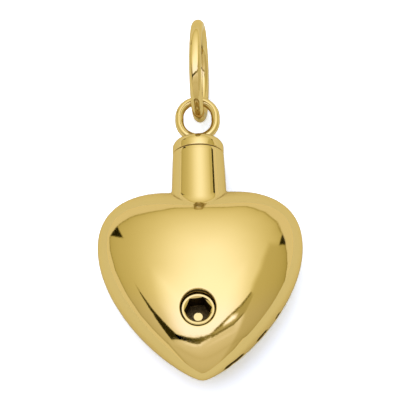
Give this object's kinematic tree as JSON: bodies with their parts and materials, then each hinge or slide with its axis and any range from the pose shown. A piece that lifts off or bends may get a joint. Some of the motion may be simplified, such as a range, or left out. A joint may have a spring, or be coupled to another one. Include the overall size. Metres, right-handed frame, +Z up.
{
  "type": "keepsake urn pendant",
  "caption": "Hollow puffed heart pendant with a round neck, a soldered loop, a jump ring and a socket screw that closes its small keepsake chamber.",
  "frame": {"origin": "middle of the bounding box's bottom, on the surface that the pendant lies on", "axes": "+X across the heart, +Y from the heart's tip towards the jump ring, +Z up, out of the side with the screw"},
  "size_m": [0.016, 0.0298, 0.0082],
  "materials": {
    "polished_gold": "mirror polished yellow gold with fine wear scratches",
    "screw_gold": "polished yellow gold, dark in its hexagon socket and thread"
  },
  "bodies": {
    "pendant": {"heart_body": "polished_gold", "neck_cap": "polished_gold", "jump_ring": "polished_gold"},
    "screw": {"closure_screw": "screw_gold"}
  },
  "joints": [
    {"name": "screw_out", "type": "slide", "parent": "pendant", "child": "screw", "axis": [0, 0.0698, 0.9976], "range_m": [0, 0.0036]}
  ]
}
